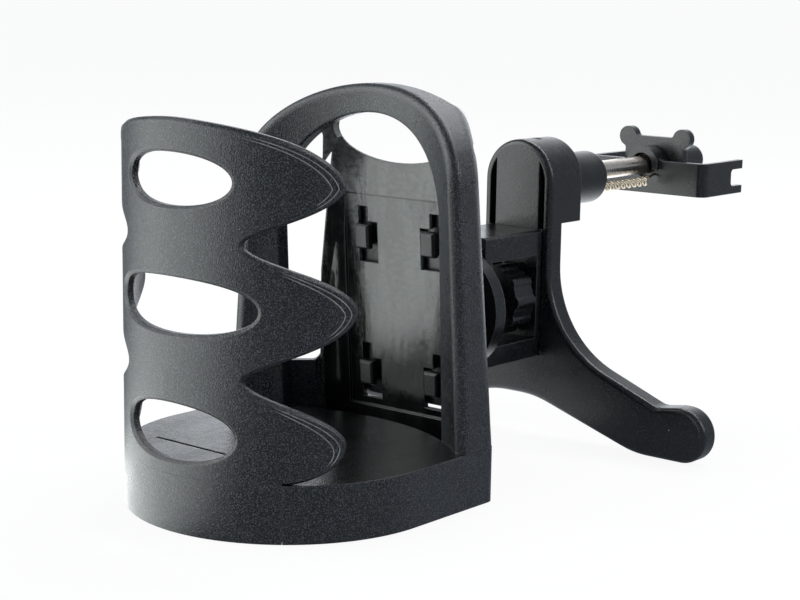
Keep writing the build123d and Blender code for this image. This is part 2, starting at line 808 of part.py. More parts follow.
with BuildPart() as clip_bracket:
    with BuildSketch(Plane.XY.offset(clip_low)):
        with BuildLine():
            FilletPolyline(
                (-clip_half_width, clip_y + clip_length),
                (-clip_half_width, clip_y),
                (clip_half_width, clip_y),
                (clip_half_width, clip_y + clip_length),
                radius=clip_bend,
            )
            offset(amount=clip_thick, side=Side.LEFT)
        make_face()
    extrude(amount=clip_height)
    # Hood over the rod, run smoothly into the top of the wall
    with BuildSketch(back_of(clip_y)) as hood_view:
        with Locations((0, clip_low)):
            wall_width = 2 * (clip_half_width - clip_bend)
            Rectangle(wall_width, clip_height, align=(Align.CENTER, Align.MIN))
        with Locations((0, rod_z)):
            Circle(hood_radius)
        fillet(hood_view.vertices().filter_by(lambda vertex: abs(vertex.X) < hood_radius), hood_blend)
    extrude(amount=clip_thick)
    with BuildSketch(back_of(clip_y - hood_reach)):
        with Locations((0, rod_z)):
            Circle(hood_radius)
    extrude(amount=ears_y - seat_gap - clip_y + hood_reach)
    with BuildSketch(back_of(clip_y - hood_reach)):
        with Locations((0, rod_z - hood_lip)):
            Rectangle(3 * hood_radius, 2 * hood_radius, align=(Align.CENTER, Align.MAX))
    extrude(amount=hood_reach, mode=Mode.SUBTRACT)
    with BuildSketch(Plane.YZ.offset(-2 * clip_half_width)) as notch:
        with Locations((clip_y + clip_length, clip_low + notch_low)):
            Rectangle(notch_depth, notch_height, align=(Align.MAX, Align.MIN))
        fillet(notch.vertices().sort_by(Axis.X)[:2], notch_round)
    extrude(amount=4 * clip_half_width, mode=Mode.SUBTRACT)
    with BuildSketch(back_of(clip_y - hood_reach)):
        with Locations((0, rod_z)):
            Circle(hood_mouth)
    extrude(amount=hood_reach + clip_thick, mode=Mode.SUBTRACT)
    with BuildSketch(back_of(clip_y)):
        with Locations((0, rod_z)):
            Circle(rod_radius + running_fit)
    extrude(amount=ears_y - clip_y, mode=Mode.SUBTRACT)
clip_bracket.part.label = "clip_bracket"
export_step(clip_bracket.part, "parts/clip_bracket.step")

with BuildPart() as pull_plate:
    with BuildSketch(back_of(ears_y)) as ears_view:
        with Locations((0, rod_z - ears_drop)):
            ears_height = ears_rise + ears_drop
            Rectangle(2 * ears_half_width, ears_height, align=(Align.CENTER, Align.MIN))
        with Locations((0, rod_z + ear_z)):
            with GridLocations(2 * ear_x, 0, 2, 1):
                Circle(ear_radius)
        fillet(ears_view.vertices(), ears_round / 2)
        with Locations((0, rod_z)):
            Circle(rod_radius + press_fit, mode=Mode.SUBTRACT)
    extrude(amount=ears_thick)
pull_plate.part.label = "pull_plate"
export_step(pull_plate.part, "parts/pull_plate.step")

with BuildPart() as rod_end_cap:
    with BuildSketch(back_of(cap_start_y)):
        with Locations((0, rod_z)):
            Circle(cap_radius)
    extrude(amount=cap_length)
    fillet(rod_end_cap.faces().sort_by(Axis.Y)[-1].edges(), cap_radius / 3)
    with BuildSketch(back_of(cap_start_y)):
        with Locations((0, rod_z)):
            Circle(rod_radius + press_fit)
    extrude(amount=rod_end_y + seat_gap - cap_start_y, mode=Mode.SUBTRACT)
rod_end_cap.part.label = "rod_end_cap"
export_step(rod_end_cap.part, "parts/rod_end_cap.step")

# Spring beside the rod, from the boss to the clip
spring_length = clip_y - hood_reach - boss_end_y - 2 * (slide_gap + spring_wire)

with BuildPart() as tension_spring:
    spring_start = (spring_x, boss_end_y + slide_gap + spring_wire, spring_z)
    with BuildLine() as coil:
        Helix(spring_pitch, spring_length, spring_radius, center=spring_start, direction=(0, 1, 0))
    with BuildSketch(Plane(coil.line @ 0, z_dir=coil.line % 0)):
        Circle(spring_wire)
    sweep(is_frenet=True)
tension_spring.part.label = "tension_spring"
export_step(tension_spring.part, "parts/tension_spring.step")
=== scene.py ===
# %% [markdown]
# A car cup holder in black plastic: a fingered cage and an arched basket, hooked on a bracket with
# two splayed feet and a sprung clip for a vent blade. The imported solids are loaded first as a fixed
# frame. Everything else in this lesson is measured from them, in metres, with +Z up and +Y towards
# the vent.

# %% Load the frame
import json
import math

import bpy
from mathutils import Matrix, Vector


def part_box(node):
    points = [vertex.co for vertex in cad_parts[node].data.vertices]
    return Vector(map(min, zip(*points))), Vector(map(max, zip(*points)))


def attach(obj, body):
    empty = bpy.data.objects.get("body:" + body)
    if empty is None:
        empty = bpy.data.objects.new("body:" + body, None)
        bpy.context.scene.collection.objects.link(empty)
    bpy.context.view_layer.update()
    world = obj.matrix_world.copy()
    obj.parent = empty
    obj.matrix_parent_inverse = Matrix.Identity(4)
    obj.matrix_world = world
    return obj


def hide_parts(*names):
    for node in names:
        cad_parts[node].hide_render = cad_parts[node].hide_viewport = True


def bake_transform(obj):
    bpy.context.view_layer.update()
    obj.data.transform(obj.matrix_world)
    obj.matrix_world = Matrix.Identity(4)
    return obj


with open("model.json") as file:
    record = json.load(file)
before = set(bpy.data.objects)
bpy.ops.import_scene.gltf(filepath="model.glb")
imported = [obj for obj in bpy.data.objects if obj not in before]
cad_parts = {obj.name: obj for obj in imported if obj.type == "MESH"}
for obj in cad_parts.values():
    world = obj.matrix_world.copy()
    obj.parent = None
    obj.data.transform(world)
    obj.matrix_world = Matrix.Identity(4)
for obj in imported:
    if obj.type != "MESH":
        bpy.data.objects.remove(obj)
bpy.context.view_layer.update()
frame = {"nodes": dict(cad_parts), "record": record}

# %% [markdown]
# The camera comes before any finish, because every comparison depends on it. It stands to the right
# of the cup, a little above the rim, with a long lens, so the sides of the cage stay nearly parallel.
# The picture is 800 pixels wide, and a lens in millimetres on a 36 mm sensor gives the same view.

# %% Camera
picture_width = 800
focal_pixels = 1780.4
sensor_width = 36
camera_place = (0.27706, -0.29393, 0.11837)
nearest_seen = 0.01
yaw, pitch, roll = math.radians(39.72), math.radians(10.06), math.radians(0.95)
forward = Vector((-math.sin(yaw) * math.cos(pitch), math.cos(yaw) * math.cos(pitch), -math.sin(pitch)))
level_right = Vector((math.cos(yaw), math.sin(yaw), 0))
level_up = level_right.cross(forward)
right = math.cos(roll) * level_right + math.sin(roll) * level_up
up = math.cos(roll) * level_up - math.sin(roll) * level_right
camera_data = bpy.data.cameras.new("photo_camera")
camera_data.sensor_width = sensor_width
camera_data.lens = focal_pixels * sensor_width / picture_width
camera_data.clip_start = nearest_seen
camera = bpy.data.objects.new("photo_camera", camera_data)
bpy.context.scene.collection.objects.link(camera)
turn = Matrix((right, up, -forward)).transposed().to_4x4()
camera.matrix_world = Matrix.Translation(camera_place) @ turn
bpy.context.scene.camera = camera
print("lens in mm:", round(camera_data.lens, 2))

# %% [markdown]
# A black surface shows little colour of its own, so what it mirrors decides how it looks: faces that
# mirror a window turn grey, and the others stay nearly black. The studio is therefore a dim room with
# a large soft window at the left, a smaller one behind the holder and a faint one at the right. They
# could be a picture wrapped round the scene, but a few nodes do the same and need no file. The same
# windows serve the room and, as a mirror image, the table.

# %% Studio windows
room_tint = (0.24, 0.265, 0.3)
# Each window: its middle seen from above in degrees, the cosines at which its edge is dark and full,
# and its light
windows = [
    (-130, 0.58, 0.96, (3.05, 3.2, 3.12)),
    (114, 0.75, 0.97, (1.3, 1.35, 1.4)),
    (0, 0.0, 0.95, (0.08, 0.09, 0.105)),
]


def feed(tree, socket, value):
    """Puts a number, a vector or the output of another node on a socket."""
    if isinstance(value, bpy.types.NodeSocket):
        tree.links.new(value, socket)
    else:
        socket.default_value = value


def vector_step(tree, operation, first, second=None):
    """Vector Math node on sockets or fixed values; returns its output."""
    step = tree.nodes.new("ShaderNodeVectorMath")
    step.operation = operation
    feed(tree, step.inputs[0], first)
    if second is not None:
        feed(tree, step.inputs["Scale" if operation == "SCALE" else 1], second)
    return step.outputs["Value" if operation == "DOT_PRODUCT" else "Vector"]


def ramp(tree, value, low, high, start=0, end=1, kind="LINEAR"):
    """Maps a value from one range to another, held at its ends; returns the output."""
    step = tree.nodes.new("ShaderNodeMapRange")
    step.interpolation_type = kind
    for name, number in (("From Min", low), ("From Max", high), ("To Min", start), ("To Max", end)):
        step.inputs[name].default_value = number
    tree.links.new(value, step.inputs["Value"])
    return step.outputs["Result"]


def surroundings(tree, direction):
    """Colour of the studio in a direction: a dim room with its bright windows added."""
    total = room_tint
    for angle, dark, full, light in windows:
        middle = (math.cos(math.radians(angle)), math.sin(math.radians(angle)), 0)
        facing = vector_step(tree, "DOT_PRODUCT", direction, middle)
        edge = ramp(tree, facing, dark, full, kind="SMOOTHSTEP")
        glow = vector_step(tree, "SCALE", light, edge)
        total = vector_step(tree, "ADD", glow, total)
    return total


print("studio windows:", len(windows))

# %% [markdown]
# The background of the photograph is plain white, but a white world would light the holder from all
# sides and flatten it. The Light Path node tells the two apart: rays that come straight from the
# camera see white, and all other rays see the studio.

# %% White room
white = (1, 1, 1, 1)


def mix_shaders(tree, share, first, second):
    """Mix of two shader nodes by a share that is a socket; returns the mixing node."""
    mix = tree.nodes.new("ShaderNodeMixShader")
    tree.links.new(share, mix.inputs["Fac"])
    tree.links.new(first.outputs[0], mix.inputs[1])
    tree.links.new(second.outputs[0], mix.inputs[2])
    return mix


scene = bpy.context.scene
scene.view_settings.view_transform = "Standard"
world = bpy.data.worlds.new("white_room")
scene.world = world
world.use_nodes = True
tree = world.node_tree
tree.nodes.clear()
rays = tree.nodes.new("ShaderNodeLightPath").outputs
toward = tree.nodes.new("ShaderNodeTexCoord").outputs["Generated"]
room_light = tree.nodes.new("ShaderNodeBackground")
tree.links.new(surroundings(tree, toward), room_light.inputs["Color"])
seen_white = tree.nodes.new("ShaderNodeBackground")
seen_white.inputs["Color"].default_value = white
seen_white.inputs["Strength"].default_value = 1.0
seen = mix_shaders(tree, rays["Is Camera Ray"], room_light, seen_white)
end = tree.nodes.new("ShaderNodeOutputWorld")
tree.links.new(seen.outputs[0], end.inputs["Surface"])
print("world nodes:", len(tree.nodes))

# %% [markdown]
# The table is one large plane just under the holder, so that no horizon shows. The camera sees it
# almost white, with a small share of matt paint that keeps the shadow. Glossy rays see the mirrored
# studio on it, because a plain white table would fill every lower reflection with light.

# %% White table
table_size = 60
table_drop = 0.0002
table_tone = (0.9, 0.9, 0.9, 1)
shadow_share = 0.08


def calc(tree, operation, first, second=0):
    """Math node fed by a socket or a number on each side; returns its output."""
    step = tree.nodes.new("ShaderNodeMath")
    step.operation = operation
    feed(tree, step.inputs[0], first)
    feed(tree, step.inputs[1], second)
    return step.outputs[0]


bpy.ops.object.select_all(action="DESELECT")
bpy.ops.mesh.primitive_plane_add(size=table_size, location=(0, 0, -table_drop))
floor = bpy.context.object
floor.name = "white_table"
paint = bpy.data.materials.new("white_table")
paint.use_nodes = True
tree = paint.node_tree
tree.nodes.clear()
rays = tree.nodes.new("ShaderNodeLightPath").outputs
matt = tree.nodes.new("ShaderNodeBsdfDiffuse")
matt.inputs["Color"].default_value = table_tone
glow = tree.nodes.new("ShaderNodeEmission")
glow.inputs["Strength"].default_value = 1.0
mirrored = tree.nodes.new("ShaderNodeEmission")
outward = vector_step(tree, "NORMALIZE", tree.nodes.new("ShaderNodeTexCoord").outputs["Object"])
tree.links.new(surroundings(tree, outward), mirrored.inputs["Color"])
unseen = mix_shaders(tree, rays["Is Glossy Ray"], matt, mirrored)
white_share = calc(tree, "MULTIPLY", rays["Is Camera Ray"], 1 - shadow_share)
seen = mix_shaders(tree, white_share, unseen, glow)
end = tree.nodes.new("ShaderNodeOutputMaterial")
tree.links.new(seen.outputs[0], end.inputs["Surface"])
floor.data.materials.append(paint)
print("table at z", floor.location.z)

# %% [markdown]
# Soft boxes draw the form of black plastic: a long light shows as a pale band on a curve and an edge.
# One large box hangs to the left and in front, one stands at the right, and a narrow one behind the
# holder catches the rims from above. Area lamps are used, because a point lamp gives hard small
# glints.

# %% Soft boxes
# Each box: its name, where it hangs, the point it is aimed at, its width and height, its power in watts
soft_boxes = [
    ("left_box", (-0.75, -0.45, 0.75), (0, 0, 0.05), (0.7, 0.7), 4),
    ("right_box", (0.75, 0.35, 0.5), (0, 0.05, 0.05), (0.25, 0.6), 2.5),
    ("rim_box", (0.0, 0.6, 0.8), (0, 0.05, 0.08), (0.9, 0.25), 5),
]
for name, hung, target, size, watts in soft_boxes:
    bpy.ops.object.light_add(type="AREA", location=hung)
    lamp = bpy.context.object
    lamp.name = name
    lamp.data.shape = "RECTANGLE"
    lamp.data.size, lamp.data.size_y = size
    lamp.data.energy = watts
    aim = Vector(target) - Vector(hung)
    lamp.rotation_euler = aim.to_track_quat("-Z", "Y").to_euler()
    print(name, "is", round(aim.length, 2), "m away")

# %% [markdown]
# All finishes of the holder start from the same few steps: an empty material, a noise on the object's
# own coordinates, and a mix of two tones. Object coordinates keep a pattern at its real size on every
# piece, and need no unwrapping. The steps are written once here and joined differently below.

# %% Steps of a finish


def new_finish(name):
    """Material with a Principled shader; returns it, its tree, the shader and Object coordinates."""
    finish = bpy.data.materials.new(name)
    finish.use_nodes = True
    tree = finish.node_tree
    tree.nodes.clear()
    end = tree.nodes.new("ShaderNodeOutputMaterial")
    shader = tree.nodes.new("ShaderNodeBsdfPrincipled")
    tree.links.new(shader.outputs[0], end.inputs["Surface"])
    return finish, tree, shader, tree.nodes.new("ShaderNodeTexCoord").outputs["Object"]


def noise(tree, place, scale, detail):
    """Noise over coordinates, with one scale or a scale for each axis; returns its height."""
    grain = tree.nodes.new("ShaderNodeTexNoise")
    grain.inputs["Detail"].default_value = detail
    if isinstance(scale, tuple):
        stretch = tree.nodes.new("ShaderNodeMapping")
        stretch.inputs["Scale"].default_value = scale
        tree.links.new(place, stretch.inputs["Vector"])
        place, scale = stretch.outputs[0], 1
    grain.inputs["Scale"].default_value = scale
    tree.links.new(place, grain.inputs["Vector"])
    return grain.outputs["Fac"]


def blend_tone(tree, share, first, second):
    """Mix of two tones, each a socket or three numbers, by a share; returns the colour."""
    mix = tree.nodes.new("ShaderNodeMix")
    mix.data_type = "RGBA"
    tree.links.new(share, mix.inputs[0])
    for socket, tone in ((mix.inputs[6], first), (mix.inputs[7], second)):
        feed(tree, socket, (*tone, 1) if isinstance(tone, tuple) else tone)
    return mix.outputs[2]


# %% [markdown]
# Two things are added to every black plastic. The Bevel node rounds the normal near an edge, and
# where that differs from the true normal, the tone turns paler: a painted highlight along the edges.
# Painting the edges by hand would take far longer. Dust settles as small pale flecks: one in some of
# the cells of a Voronoi pattern.

# %% Painted edge highlights and dust
edge_softness = 0.0004
edge_samples = 4
edge_highlight_turn = (0.8, 0.97)
edge_highlight_share = 0.6
edge_highlight_tone = (0.1, 0.104, 0.11)
fleck_spacing = 0.0045
fleck_size = 0.00016
bare_cells = 0.8
fleck_tone = (0.3, 0.3, 0.3)


def soft_edges_and_painted_highlight(tree):
    """Rounded normal, and the share of painted edge highlight that is highest on an edge."""
    soft_edge = tree.nodes.new("ShaderNodeBevel")
    soft_edge.samples = edge_samples
    soft_edge.inputs["Radius"].default_value = edge_softness
    true_normal = tree.nodes.new("ShaderNodeNewGeometry").outputs["Normal"]
    agree = vector_step(tree, "DOT_PRODUCT", soft_edge.outputs[0], true_normal)
    return soft_edge.outputs[0], ramp(tree, agree, *edge_highlight_turn, edge_highlight_share, 0)


def dust(tree, place):
    """Share that is 1 on a fleck of dust and 0 elsewhere."""
    cells = tree.nodes.new("ShaderNodeTexVoronoi")
    cells.inputs["Scale"].default_value = 1 / fleck_spacing
    tree.links.new(place, cells.inputs["Vector"])
    near = calc(tree, "LESS_THAN", cells.outputs["Distance"], fleck_size / fleck_spacing)
    pick = tree.nodes.new("ShaderNodeSeparateColor")
    tree.links.new(cells.outputs["Color"], pick.inputs[0])
    return calc(tree, "MULTIPLY", near, calc(tree, "GREATER_THAN", pick.outputs[0], bare_cells))


print("dust: a cell of", fleck_spacing * 1000, "mm, flecked in", round(1 - bare_cells, 2), "of them")

# %% [markdown]
# The cage and the basket are moulded in a spark-eroded tool, which leaves a fine even grain. Each
# grain tilts the surface a little, so it shows as glints where the mirror image turns from bright to
# dark. A noise of about a third of a millimetre gives that grain as bump, its tips carry a pale
# painted glint, and a coarser noise varies the gloss, as handling does. Modelled grains would need
# millions of faces. The bracket and the clip take the same plastic with a shallower grain, as satin.

# %% Black plastic
grain_detail = 1
handling_scale, handling_detail = 90, 3
noise_middle = (0.3, 0.7)
gloss_swing = 0.05
glint_tip_range = (0.5, 0.68)


def black_plastic(name, color, painted_glint, gloss, grain_size, grain_depth, polished=None):
    """Black moulded plastic with painted glints on its grain tips; polished, if given, works in its
    smooth areas.
    """
    finish, tree, shader, place = new_finish(name)
    grain = noise(tree, place, 1 / grain_size, grain_detail)
    handling = noise(tree, place, handling_scale, handling_detail)
    roughness = ramp(tree, handling, *noise_middle, gloss - gloss_swing, gloss + gloss_swing)
    height = calc(tree, "MULTIPLY", grain, grain_depth)
    # Painted glint: the tips of the grain are toned paler
    tone = blend_tone(tree, ramp(tree, grain, *glint_tip_range), color, painted_glint)
    if polished:
        roughness, height, tone = polished(tree, place, roughness, height, tone)
    soft_normal, painted_edge_highlight = soft_edges_and_painted_highlight(tree)
    # Painted highlight: the tone turns paler along the edges
    tone = blend_tone(tree, painted_edge_highlight, tone, edge_highlight_tone)
    tone = blend_tone(tree, dust(tree, place), tone, fleck_tone)
    tree.links.new(tone, shader.inputs["Base Color"])
    tree.links.new(roughness, shader.inputs["Roughness"])
    bump = tree.nodes.new("ShaderNodeBump")
    bump.inputs["Strength"].default_value = 1.0
    bump.inputs["Distance"].default_value = 1.0
    tree.links.new(height, bump.inputs["Height"])
    tree.links.new(soft_normal, bump.inputs["Normal"])
    tree.links.new(bump.outputs[0], shader.inputs["Normal"])
    return finish


satin = black_plastic(
    "satin_black_plastic",
    color=(0.003, 0.0034, 0.0042),
    painted_glint=(0.022, 0.023, 0.025),
    gloss=0.28,
    grain_size=0.0004,
    grain_depth=0.00003,
)
print("satin plastic nodes:", len(satin.node_tree.nodes))

# %% [markdown]
# The basket's inner panel and its floor come from a polished part of the tool, so the grain fades out
# there. The basket is one moulding with one material, so the areas are found by place: the panel by
# its depth in front of the leaning back wall, and the floor by its height. A pale painted reflection
# lies on the panel. It starts above the lower hooks and is widest at the top.

# %% Polished areas and painted reflection
back_lean = math.radians(4)
panel_point = Vector((0, 0.04126, 0.0393))
panel_normal = Vector((0, -math.cos(back_lean), -math.sin(back_lean)))
panel_depths = (0.0005, 0.0042)
panel_side = 0.026
panel_top = 0.067
panel_half_width = 0.017
floor_height = 0.013
floor_skin = 0.00005
reflection_wave = 0.012
reflection_rise, reflection_least = (0.031, 0.042), 0.03
reflection_widening = 0.185
border_wave = 0.004
reflection_border, rim_reflection = (0.0051, 0.0075), 0.04
step_blur = 0.0005
reflection_cloud_range, reflection_cloud_least = (0.42, 0.58), 0.45


def smooth_areas(tree, place, across, height):
    """Shares that are 1 on the inner panel and on the floor, and 0 elsewhere."""
    ahead = vector_step(tree, "DOT_PRODUCT", place, panel_normal)
    depth = calc(tree, "SUBTRACT", ahead, panel_point.dot(panel_normal))
    in_front = calc(tree, "GREATER_THAN", depth, panel_depths[0])
    not_far = calc(tree, "LESS_THAN", depth, panel_depths[1])
    between_sides = calc(tree, "LESS_THAN", across, panel_side)
    on_panel = calc(tree, "MULTIPLY", calc(tree, "MULTIPLY", in_front, not_far), between_sides)
    off_floor = calc(tree, "ABSOLUTE", calc(tree, "SUBTRACT", height, floor_height))
    return on_panel, calc(tree, "LESS_THAN", off_floor, floor_skin)


def painted_reflection_share(tree, across, height, flow, flow_and_peel):
    """Share of the painted reflection: in the middle of the panel, and all over the wall above it."""
    wavy = calc(tree, "ADD", height, calc(tree, "MULTIPLY", flow, reflection_wave))
    risen = ramp(tree, wavy, *reflection_rise, reflection_least, 1)
    widened = calc(tree, "SUBTRACT", across, calc(tree, "MULTIPLY", height, reflection_widening))
    border = calc(tree, "ADD", widened, calc(tree, "MULTIPLY", flow, border_wave))
    middle = ramp(tree, border, *reflection_border, 1, rim_reflection)
    above = ramp(tree, height, panel_top - step_blur, panel_top + step_blur)
    covered = calc(tree, "MULTIPLY", risen, calc(tree, "MAXIMUM", middle, above))
    return calc(tree, "MULTIPLY", ramp(tree, flow_and_peel, *reflection_cloud_range, reflection_cloud_least, 1), covered)


print("panel up to z", panel_top, "and floor at z", floor_height)

# %% [markdown]
# Polished plastic is never quite even: flow marks run up the panel, over a fine orange-peel skin.
# Both vary its gloss, and the flow ripples it slightly. A painted shadow darkens the fine step at the
# panel's top. The three maps of the grained plastic are taken over and changed only on the smooth
# areas.

# %% Polished inside of the basket
flow_scale, flow_detail = (180, 60, 60), 4
peel_scale, peel_detail = (600, 600, 1000), 2
flow_share = 0.6
wear_range, polish_roughness = (0.4, 0.6), (0.12, 0.26)
ripple_depth = 0.00028
panel_grain, floor_grain = 0.12, 0.5
panel_reflection_tone = (0.15, 0.155, 0.151)
smooth_and_shadow_tone = (0.004, 0.0042, 0.0045)
step_shadow_width, step_shadow_share = (0.00012, 0.00028), 0.9


def polished_inside(tree, place, roughness, height, tone):
    """Roughness, bump height and tone with the smooth panel and floor worked in."""
    split = tree.nodes.new("ShaderNodeSeparateXYZ")
    tree.links.new(place, split.inputs[0])
    across, z = calc(tree, "ABSOLUTE", split.outputs[0]), split.outputs[2]
    on_panel, on_floor = smooth_areas(tree, place, across, z)
    smooth = calc(tree, "MAXIMUM", on_panel, on_floor)
    flow = noise(tree, place, flow_scale, flow_detail)
    peel = noise(tree, place, peel_scale, peel_detail)
    flow_part = calc(tree, "MULTIPLY", flow, flow_share)
    flow_and_peel = calc(tree, "ADD", flow_part, calc(tree, "MULTIPLY", peel, 1 - flow_share))

    polish = ramp(tree, flow_and_peel, *wear_range, *polish_roughness)
    grained_part = calc(tree, "MULTIPLY", roughness, calc(tree, "SUBTRACT", 1.0, smooth))
    gloss = calc(tree, "ADD", grained_part, calc(tree, "MULTIPLY", polish, smooth))

    ripple = calc(tree, "MULTIPLY", calc(tree, "MULTIPLY", flow, on_panel), ripple_depth)
    panel_fade = ramp(tree, on_panel, 0, 1, 1, panel_grain)
    floor_fade = ramp(tree, on_floor, 0, 1, 1, floor_grain)
    fade = calc(tree, "MULTIPLY", panel_fade, floor_fade)
    relief = calc(tree, "ADD", calc(tree, "MULTIPLY", height, fade), ripple)

    clean = blend_tone(tree, smooth, tone, smooth_and_shadow_tone)
    # Painted reflection: a pale tone over the middle of the panel
    panel_reflection = calc(tree, "MULTIPLY", on_panel, painted_reflection_share(tree, across, z, flow, flow_and_peel))
    with_reflection = blend_tone(tree, panel_reflection, clean, panel_reflection_tone)
    # Painted shadow: a dark line along the step at the top of the panel
    from_step = calc(tree, "ABSOLUTE", calc(tree, "SUBTRACT", z, panel_top))
    step_shadow = ramp(tree, from_step, *step_shadow_width, step_shadow_share, 0)
    in_step = calc(tree, "MULTIPLY", calc(tree, "LESS_THAN", across, panel_half_width), on_panel)
    return gloss, relief, blend_tone(tree, calc(tree, "MULTIPLY", step_shadow, in_step), with_reflection, smooth_and_shadow_tone)


grained = black_plastic(
    "grained_black_plastic",
    color=(0.003, 0.004, 0.0055),
    painted_glint=(0.062, 0.066, 0.074),
    gloss=0.29,
    grain_size=0.00028,
    grain_depth=0.00011,
    polished=polished_inside,
)
print("grained plastic nodes:", len(grained.node_tree.nodes))

# %% [markdown]
# The rod is bright plated steel with faint rings from turning, the spring is drawn wire with a warm
# tint, and the stud and the screws are dull zinc. Metal takes its look from its surroundings, so a
# tint, the roughness and a slight bump are enough to set these three apart. A noise that is squeezed
# along the rod gives the rings.

# %% Finishes of the metals
mark_detail = 4
mark_strength = 0.4


def metal(name, color, roughness, marks, depth):
    """Metal with a roughness range and fine marks: their number per metre on each axis, their depth."""
    finish, tree, shader, place = new_finish(name)
    height = noise(tree, place, marks, mark_detail)
    shader.inputs["Base Color"].default_value = (*color, 1)
    shader.inputs["Metallic"].default_value = 1.0
    tree.links.new(ramp(tree, height, *noise_middle, *roughness), shader.inputs["Roughness"])
    bump = tree.nodes.new("ShaderNodeBump")
    bump.inputs["Distance"].default_value = depth
    bump.inputs["Strength"].default_value = mark_strength
    tree.links.new(height, bump.inputs["Height"])
    tree.links.new(bump.outputs[0], shader.inputs["Normal"])
    return finish


bright_rod = metal("bright_rod_steel", (0.74, 0.67, 0.6), (0.18, 0.32), (60, 9000, 60), 0.000004)
spring_wire = metal("spring_wire_steel", (0.62, 0.53, 0.41), (0.22, 0.36), (900, 900, 900), 0.000006)
zinc = metal("zinc_screw_steel", (0.62, 0.62, 0.6), (0.3, 0.45), (2500, 2500, 2500), 0.000008)
print("metals:", [finish.name for finish in (bright_rod, spring_wire, zinc)])

# %% [markdown]
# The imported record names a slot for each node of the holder, so the finishes go on by slot. Only the
# materials of the nodes change here. Their shapes come from the solids and stay as they are.

# %% Finish of each node
finish_of_slot = {
    "textured_black": grained,
    "smooth_black": satin,
    "bright_steel": bright_rod,
    "steel": zinc,
}
for entry in frame["record"]["subparts"]:
    piece = frame["nodes"][entry["node"]]
    piece.data.materials.clear()
    piece.data.materials.append(finish_of_slot[entry["material_slot"]])
print("finished pieces:", len(frame["nodes"]))

# %% [markdown]
# The spring is wound here as real wire, in place of the rigid coil of the solids. A ring of wire, set
# off from the axis, is screwed along the axis for the turns.

# %% Turns of the spring
spring_low, spring_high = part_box("tension_spring")
wire = 0.00034
wire_sides = 12
turns, spare_turns = 9, 0.5
steps_per_turn = 28
coil_slack = 0.00025
coil_radius = (spring_high[0] - spring_low[0]) / 2 - wire - coil_slack
coil_axis = Vector(((spring_low[0] + spring_high[0]) / 2, 0, spring_high[2] - wire - coil_radius))
coil_pitch = (spring_high[1] - spring_low[1] - 2 * wire) / (turns + spare_turns)
coil_start_y = spring_low[1] + wire
coil_end_y = coil_start_y + turns * coil_pitch

bpy.ops.object.select_all(action="DESELECT")
bpy.ops.mesh.primitive_circle_add(vertices=wire_sides, radius=wire, rotation=(0, math.pi / 2, 0))
spring = bpy.context.object
spring.name = "wound_spring"
bpy.ops.object.transform_apply(location=False, rotation=True, scale=False)
bpy.ops.object.mode_set(mode="EDIT")
bpy.ops.mesh.select_all(action="SELECT")
bpy.ops.transform.translate(value=(0, 0, coil_radius))
bpy.ops.object.mode_set(mode="OBJECT")
winding = spring.modifiers.new("winding", "SCREW")
winding.axis = "Y"
winding.screw_offset = coil_pitch
winding.iterations = turns
winding.steps = steps_per_turn
winding.render_steps = steps_per_turn
bpy.ops.object.modifier_apply(modifier="winding")
bpy.ops.object.mode_set(mode="EDIT")
bpy.ops.mesh.select_all(action="SELECT")
bpy.ops.mesh.fill_holes(sides=0)
bpy.ops.mesh.normals_make_consistent(inside=False)
bpy.ops.transform.translate(value=(coil_axis.x, coil_start_y, coil_axis.z))
bpy.ops.object.mode_set(mode="OBJECT")
print("spring turns:", turns, "pitch in mm:", round(coil_pitch * 1000, 2))

# %% [markdown]
# A straight tail at each end leads the wire to the plastic that holds it: level to the boss, and
# slightly upwards to the wall of the clip. The spring takes the place of the rigid coil.

# %% Tails of the spring
boss_end_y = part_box("vent_bracket")[1][1]
clip_wall_y = 0.15
boss_gap, wall_gap = 0.00002, 0.0001
tail_rise = 0.0008
wire_smooth_angle = math.radians(40)
coil_top = coil_axis.z + coil_radius
tail_ends = [
    ((coil_start_y, coil_top), (boss_end_y + boss_gap, coil_top)),
    ((coil_end_y, coil_top), (clip_wall_y - wall_gap, coil_top + tail_rise)),
]
tails = []
for (from_y, from_z), (to_y, to_z) in tail_ends:
    first, last = Vector((coil_axis.x, from_y, from_z)), Vector((coil_axis.x, to_y, to_z))
    along = last - first
    bpy.ops.mesh.primitive_cylinder_add(
        vertices=wire_sides,
        radius=wire,
        depth=along.length,
        location=(first + last) / 2,
        rotation=along.to_track_quat("Z", "Y").to_euler(),
    )
    tails.append(bpy.context.object)
bpy.ops.object.select_all(action="DESELECT")
for piece in tails + [spring]:
    piece.select_set(True)
bpy.context.view_layer.objects.active = spring
bpy.ops.object.join()
bpy.ops.object.shade_smooth_by_angle(angle=wire_smooth_angle)
spring.data.materials.append(spring_wire)
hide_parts("tension_spring")
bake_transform(spring)
print("spring vertices:", len(spring.data.vertices))

# %% [markdown]
# Each fingertip carries two fine raised lines, where the grained face of the mould ends in steps.
# They follow the edge of the finger, so they are worked out from the same outline: two Bezier edges
# that meet in the tip. The outline is drawn as it is seen from the cup axis and then unrolled from
# the cage.

# %% Outline of the fingers
cage_radius = 0.038
cage_height = 0.0902
crown_arc, brow_rise = 0.0184, 0.003
gap_arc = 0.0185
upper_gap_z, lower_gap_z = 0.0641, 0.0351
gap_round, tip_round = 0.37, 0.29
band_arc, sole_arc, sole_drop = 0.0272, 0.0325, 0.0036
upper_tip, middle_tip, lower_tip = (0.0407, 0.0767), (0.0438, 0.05), (0.0414, 0.0213)


def flat_point(arc, z):
    """Point of the cage's outside as it is seen from the cup axis, on an upright plane."""
    return Vector((cage_radius * math.tan(arc / cage_radius), z))


